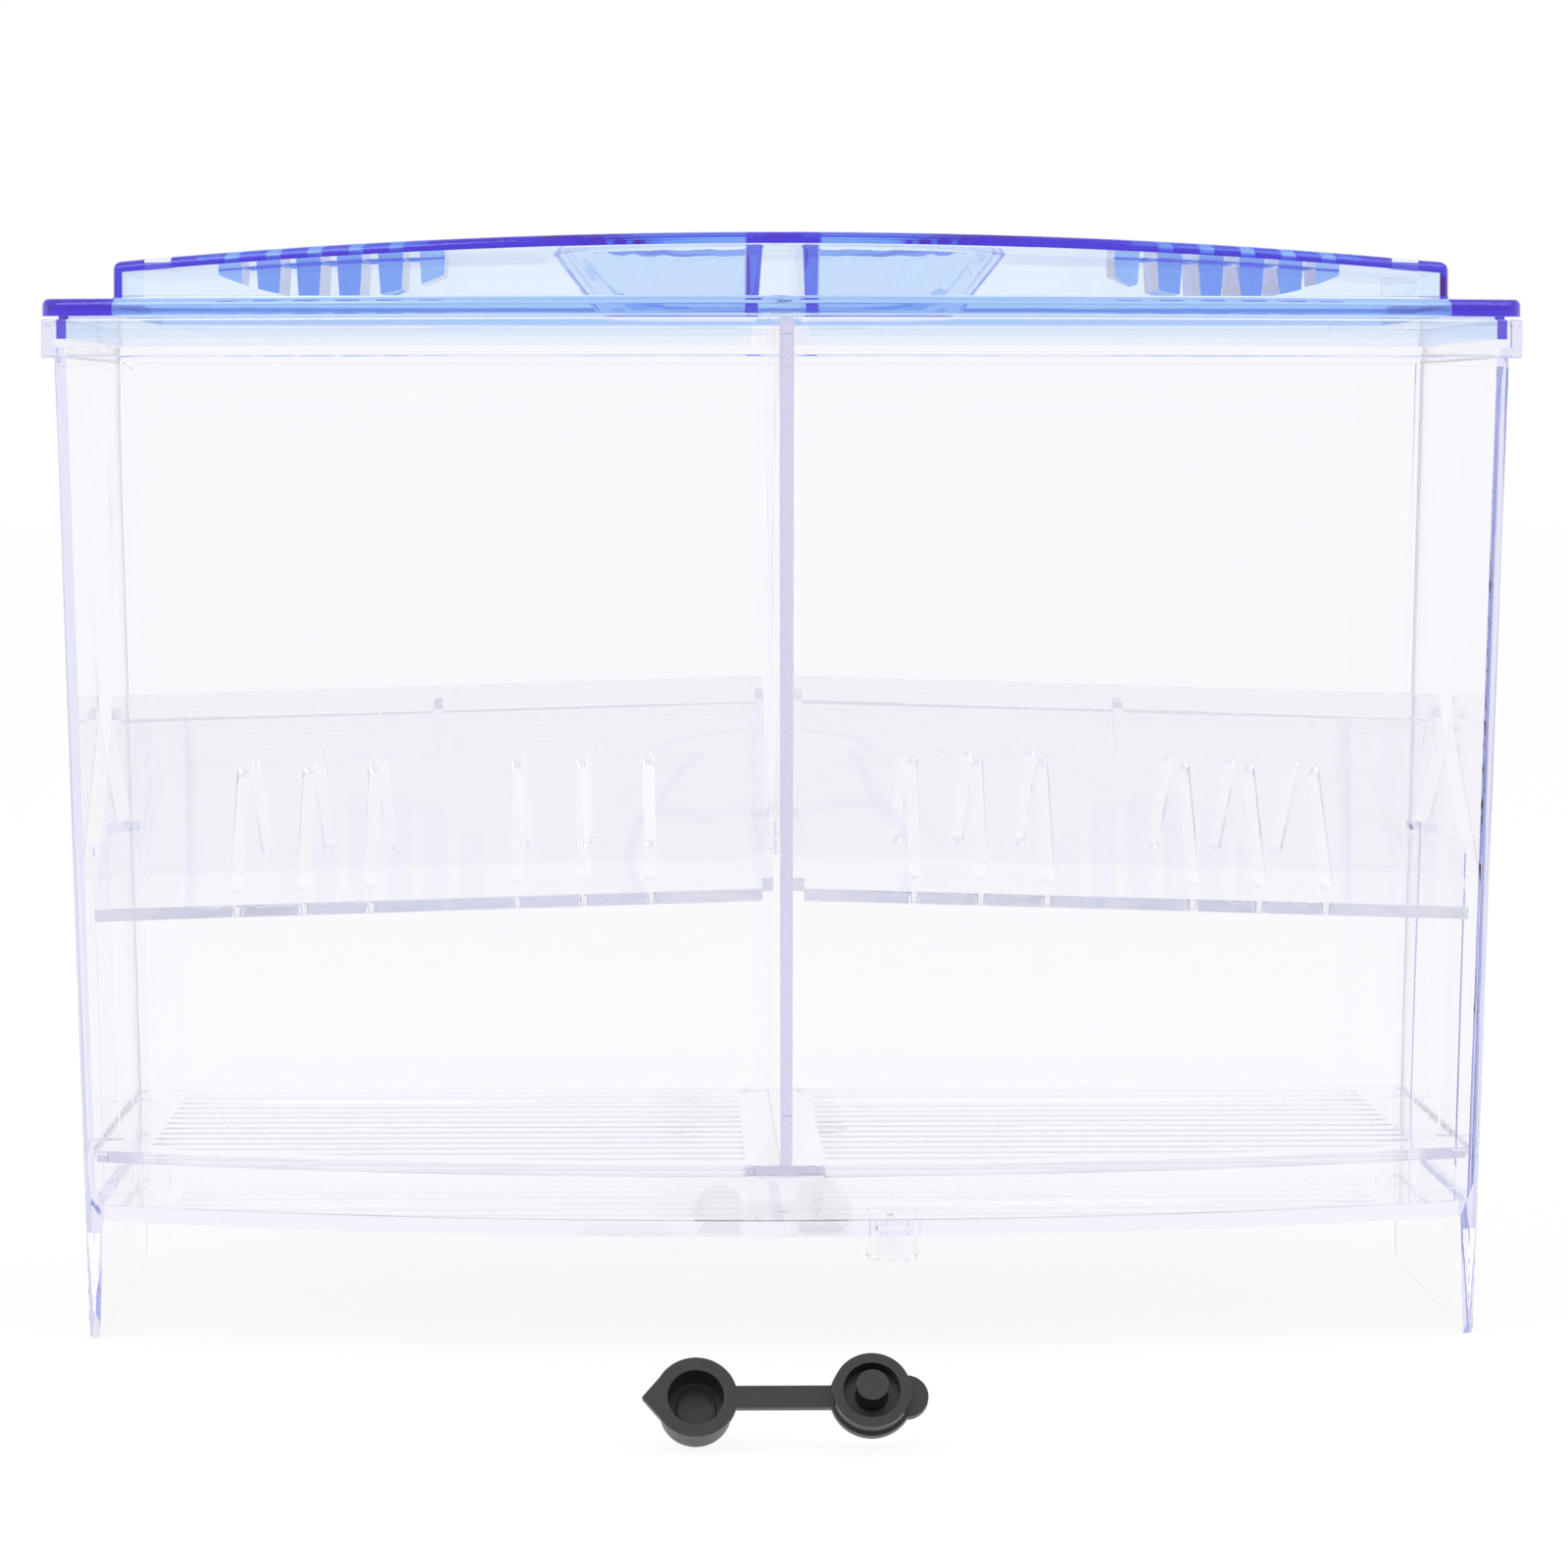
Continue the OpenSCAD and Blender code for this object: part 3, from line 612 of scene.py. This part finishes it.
# %% The inner pieces
DIVIDER_RADIUS = 0.18 * MM
PLATE_RADIUS = 0.25 * MM
PLATE_LONG_EDGE = 30 * MM
GRILLE_RADIUS = 0.15 * MM
GRILLE_OUTSIDE = 7.2 * MM
LEG_RADIUS = 0.3 * MM
LEG_TOP = 24 * MM
FOOT_HEIGHT = 0.3 * MM
PLATES = ("front_left", "rear_left", "front_right", "rear_right")


def plate_radius(middle, run):
    """Only the plate's own long edges are round."""
    return PLATE_RADIUS if abs(run.x) > PLATE_LONG_EDGE else 0


def grille_radius(middle, run):
    """The legs and the outline are round."""
    if middle.z < LEG_TOP:
        return LEG_RADIUS
    return GRILLE_RADIUS if inset(middle) < GRILLE_OUTSIDE else 0


inner = {"divider": (divider_plastic, even(DIVIDER_RADIUS)), "grille": (grille_plastic, grille_radius)}
for place in PLATES:
    inner["plate_" + place] = (plate_plastic, plate_radius)
for node, (material, radius_of) in inner.items():
    piece = rounded(welded(node, node + "_moulding"), radius_of, segments=2)
    foot_top = min(v.co.z for v in piece.data.vertices) + FOOT_HEIGHT
    lift(piece, AIR, high=math.inf if node.startswith("plate") else foot_top)
    report(piece)
    dress(piece, node, material)

# %% [markdown]
# ## Marks from the mould
# Ejector pins push a moulding out of its mould, and each leaves a faint ring. On the sloping plates they sit
# between the slots' ends. Geometry Nodes puts one ring on each point, so only the points are listed here.
# The tree has named inputs for its sizes, and its result is made a plain mesh for each plate.

# %% Helpers for Geometry Nodes
def tree_with_inputs(name, inputs):
    """A Geometry Nodes tree with a geometry input and these named inputs."""
    tree = bpy.data.node_groups.new(name, "GeometryNodeTree")
    tree.interface.new_socket("Geometry", in_out="INPUT", socket_type="NodeSocketGeometry")
    for label, kind in inputs.items():
        tree.interface.new_socket(label, in_out="INPUT", socket_type=kind)
    tree.interface.new_socket("Geometry", in_out="OUTPUT", socket_type="NodeSocketGeometry")
    return tree


def run_tree(piece, tree, values):
    """Gives a piece the tree with these values, and makes the result a plain mesh."""
    modifier = piece.modifiers.new(tree.name, "NODES")
    modifier.node_group = tree
    for item in tree.interface.items_tree:
        if item.in_out == "INPUT" and item.name in values:
            modifier[item.identifier] = values[item.name]
    evaluated(piece)


def circle_curve(add, link, radius, steps):
    """A circle whose radius comes from a socket."""
    curve = add("GeometryNodeCurvePrimitiveCircle")
    curve.inputs["Resolution"].default_value = steps
    link(radius, curve.inputs["Radius"])
    return curve.outputs["Curve"]


def end_tree(add, link, shape, material):
    """Makes the copies in a shape real, sets its material and gives it to the tree's output."""
    real = add("GeometryNodeRealizeInstances")
    link(shape, real.inputs["Geometry"])
    plastic = add("GeometryNodeSetMaterial")
    link(real.outputs["Geometry"], plastic.inputs["Geometry"])
    link(material, plastic.inputs["Material"])
    link(plastic.outputs["Geometry"], add("NodeGroupOutput").inputs["Geometry"])


# %% The tree for ejector marks
PIN_RADIUS = 1.9 * MM
RING_RADIUS = 0.05 * MM
RING_STEPS = 48
SECTION_STEPS = 8
pin_tree = tree_with_inputs("pin_marks", {"Pin radius": "NodeSocketFloat", "Ring radius": "NodeSocketFloat",
                                          "Turn": "NodeSocketVector", "Plastic": "NodeSocketMaterial"})
add, link = nodes_of(pin_tree)
given = add("NodeGroupInput")
ring = add("GeometryNodeCurveToMesh")
link(circle_curve(add, link, given.outputs["Pin radius"], RING_STEPS), ring.inputs["Curve"])
link(circle_curve(add, link, given.outputs["Ring radius"], SECTION_STEPS), ring.inputs["Profile Curve"])
turned = add("GeometryNodeTransform")
link(ring.outputs["Mesh"], turned.inputs["Geometry"])
link(given.outputs["Turn"], turned.inputs["Rotation"])
each = add("GeometryNodeInstanceOnPoints")
link(given.outputs["Geometry"], each.inputs["Points"])
link(turned.outputs["Geometry"], each.inputs["Instance"])
end_tree(add, link, each.outputs["Instances"], given.outputs["Plastic"])
print("tree:", pin_tree.name, "has", len(pin_tree.nodes), "nodes")

# %% Ejector marks on the plates
PLATE_SLOPE = math.radians(35)
PLATE_TILT = math.radians(1.7)
PLATE_THICK = 1.5 * MM
PIN_FROM_END = (24.1 * MM, 33.4 * MM, 63.1 * MM, 72.4 * MM)
PIN_UP_SLOPE = (2.3 * MM, 34.0 * MM)
front_low, front_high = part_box("plate_front_right")
rear_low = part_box("plate_rear_right")[0]
ridge_y = (front_high.y + rear_low.y) / 2
lean = Matrix.Translation((front_high.x, 0, front_low.z)) @ Matrix.Rotation(PLATE_TILT, 4, "Y")
lean = lean @ Matrix.Translation((0, front_low.y, 0)) @ Matrix.Rotation(PLATE_SLOPE, 4, "X")
for place in PLATES:
    side = Vector((-1 if "left" in place else 1, -1 if "rear" in place else 1, 1))
    points = []
    for along in PIN_FROM_END:
        for up in PIN_UP_SLOPE:
            spot = lean @ Vector((-along, up, PLATE_THICK + RING_RADIUS))
            y = 2 * ridge_y - spot.y if "rear" in place else spot.y
            points.append((spot.x * side.x, y, spot.z))
    mesh = bpy.data.meshes.new("pin_marks_" + place)
    mesh.from_pydata(points, [], [])
    marks = new_piece(mesh.name, mesh)
    normal = (lean.to_3x3() @ Vector((0, 0, 1))) * side
    turn = normal.to_track_quat("Z", "Y").to_euler()
    run_tree(marks, pin_tree, {"Pin radius": PIN_RADIUS, "Ring radius": RING_RADIUS, "Turn": tuple(turn),
                               "Plastic": plate_plastic})
    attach(marks, "plate_" + place)
    print(marks.name, len(marks.data.vertices), "vertices on", len(points), "points")

# %% [markdown]
# Where the two side skirts end at the front, thin white lines show, one inside the other, like hairpins
# with their bends down. Molten plastic can leave such lines where it meets itself as it cools. They are
# drawn as lines on the skirt's own face, found by rays from the front, and Geometry Nodes gives each line a
# round section. Their frosted plastic also gives off a faint white light, a painted glow that keeps them
# white.

# %% The tree for flow lines
LINE_RADIUS = 0.06 * MM
line_tree = tree_with_inputs("flow_lines", {"Line radius": "NodeSocketFloat",
                                            "Plastic": "NodeSocketMaterial"})
add, link = nodes_of(line_tree)
given = add("NodeGroupInput")
path = add("GeometryNodeMeshToCurve")
link(given.outputs["Geometry"], path.inputs["Mesh"])
tube = add("GeometryNodeCurveToMesh")
tube.inputs["Fill Caps"].default_value = True
link(path.outputs["Curve"], tube.inputs["Curve"])
link(circle_curve(add, link, given.outputs["Line radius"], SECTION_STEPS), tube.inputs["Profile Curve"])
end_tree(add, link, tube.outputs["Mesh"], given.outputs["Plastic"])
print("tree:", line_tree.name, "has", len(line_tree.nodes), "nodes")

# %% The frosted look of the flow lines, and their painted glow
FROST_ROUGHNESS = 0.4
FROST_CLEARNESS = 0.5
LINE_PAINTED_GLOW = 0.3
frost_and_painted_glow = bpy.data.materials.new("frosted_line_painted_glow")
frost_and_painted_glow.use_nodes = True
add, link = nodes_of(frost_and_painted_glow.node_tree)
shader = add("ShaderNodeBsdfPrincipled")
shader.inputs["Base Color"].default_value = (1, 1, 1, 1)
shader.inputs["Roughness"].default_value = FROST_ROUGHNESS
shader.inputs["IOR"].default_value = ACRYLIC_IOR
shader.inputs["Transmission Weight"].default_value = FROST_CLEARNESS
# The emission is a painted glow: the lines give off faint white light, though they are no lamp.
shader.inputs["Emission Color"].default_value = (1, 1, 1, 1)
shader.inputs["Emission Strength"].default_value = LINE_PAINTED_GLOW
link(shader.outputs[0], add("ShaderNodeOutputMaterial").inputs["Surface"])
print("frost:", frost_and_painted_glow.name)

# %% Rays that find the skirt's front ends
RAY_AHEAD = 0.5
SKIRT_END_BACK = 6 * MM
SWEEP_STEP = 0.1 * MM
SWEEP_STEPS = 100
face_finder = BVHTree.FromObject(walls, bpy.context.evaluated_depsgraph_get())


def on_skirt_end(x, z):
    """The point of the tank that a ray from the front meets at this x and height."""
    return face_finder.ray_cast(Vector((x, -RAY_AHEAD, z)), Vector((0, 1, 0)))[0]


def skirt_end_middle(side, z):
    """The middle of the skirt's end face at a height, from rays that sweep across it."""
    found = []
    for i in range(SWEEP_STEPS):
        x = side * (half_width - i * SWEEP_STEP)
        place = on_skirt_end(x, z)
        if place and place.y < corner_y + SKIRT_END_BACK:
            found.append(x)
    return (min(found) + max(found)) / 2


print("middle of the right end, 10 mm up: x =", round(skirt_end_middle(1, 10 * MM), 5))

# %% Flow lines on the skirt's front ends
HAIRPINS = 4
HAIRPIN_TOP = 14.8 * MM
FIRST_BEND, LAST_BEND = 3.0 * MM, 10.5 * MM
FIRST_WIDTH, LAST_WIDTH = 1.7 * MM, 0.5 * MM
HAIRPIN_STEPS = 10
for side, name in ((-1, "left"), (1, "right")):
    points, lines = [], []
    for k in range(HAIRPINS):
        share = k / (HAIRPINS - 1)
        bend = FIRST_BEND + share * (LAST_BEND - FIRST_BEND)
        width = FIRST_WIDTH + share * (LAST_WIDTH - FIRST_WIDTH)
        for i in range(2 * HAIRPIN_STEPS + 1):
            across = i / HAIRPIN_STEPS - 1
            z = bend + (HAIRPIN_TOP - bend) * abs(across)
            x = skirt_end_middle(side, z) + across * width / 2
            place = on_skirt_end(x, z)
            if i:
                lines.append((len(points) - 1, len(points)))
            points.append((x, place.y, z))
    mesh = bpy.data.meshes.new("flow_lines_" + name)
    mesh.from_pydata(points, lines, [])
    flow = new_piece(mesh.name, mesh)
    run_tree(flow, line_tree, {"Line radius": LINE_RADIUS, "Plastic": frost_and_painted_glow})
    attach(flow, "tank")
    print(flow.name, len(flow.data.vertices), "vertices")

# %% [markdown]
# ## The drain plug
# The plug is one soft moulding that lies loose in front of the box. A rubber moulding has no hard edges, so
# it gets one small radius all round. The floor of its cup has a raised round bead. A ring from the tree for
# ejector marks makes it: the ring only has to be larger, and to lean as the plug does.

# %% The plug
PLUG_RADIUS = 0.1 * MM
plug = rounded(welded("drain_plug", "plug_moulding"), even(PLUG_RADIUS))
report(plug)
dress(plug, "drain_plug", rubber)

# %% The bead on the cup's floor
PLUG_LEAN = math.radians(30)
PLUG_AHEAD = 84 * MM
CUP_X = -12.9 * MM
CUP_RADIUS = 4.5 * MM
CUP_DEPTH = 6 * MM
PLUG_THICK = 1.2 * MM
BEAD_RADIUS = 2.4 * MM
BEAD_THICK = 0.2 * MM
plug_foot = CUP_RADIUS * math.cos(PLUG_LEAN) + CUP_DEPTH * math.sin(PLUG_LEAN)
cup_place = Matrix.Translation((CUP_X, corner_y - PLUG_AHEAD, plug_foot))
cup_place = cup_place @ Matrix.Rotation(math.pi / 2 - PLUG_LEAN, 4, "X")
mesh = bpy.data.meshes.new("cup_bead")
mesh.from_pydata([cup_place @ Vector((0, 0, PLUG_THICK - CUP_DEPTH))], [], [])
bead = new_piece(mesh.name, mesh)
turn = (math.pi / 2 - PLUG_LEAN, 0, 0)
run_tree(bead, pin_tree, {"Pin radius": BEAD_RADIUS, "Ring radius": BEAD_THICK, "Turn": turn,
                          "Plastic": rubber})
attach(bead, "drain_plug")
print(bead.name, len(bead.data.vertices), "vertices")
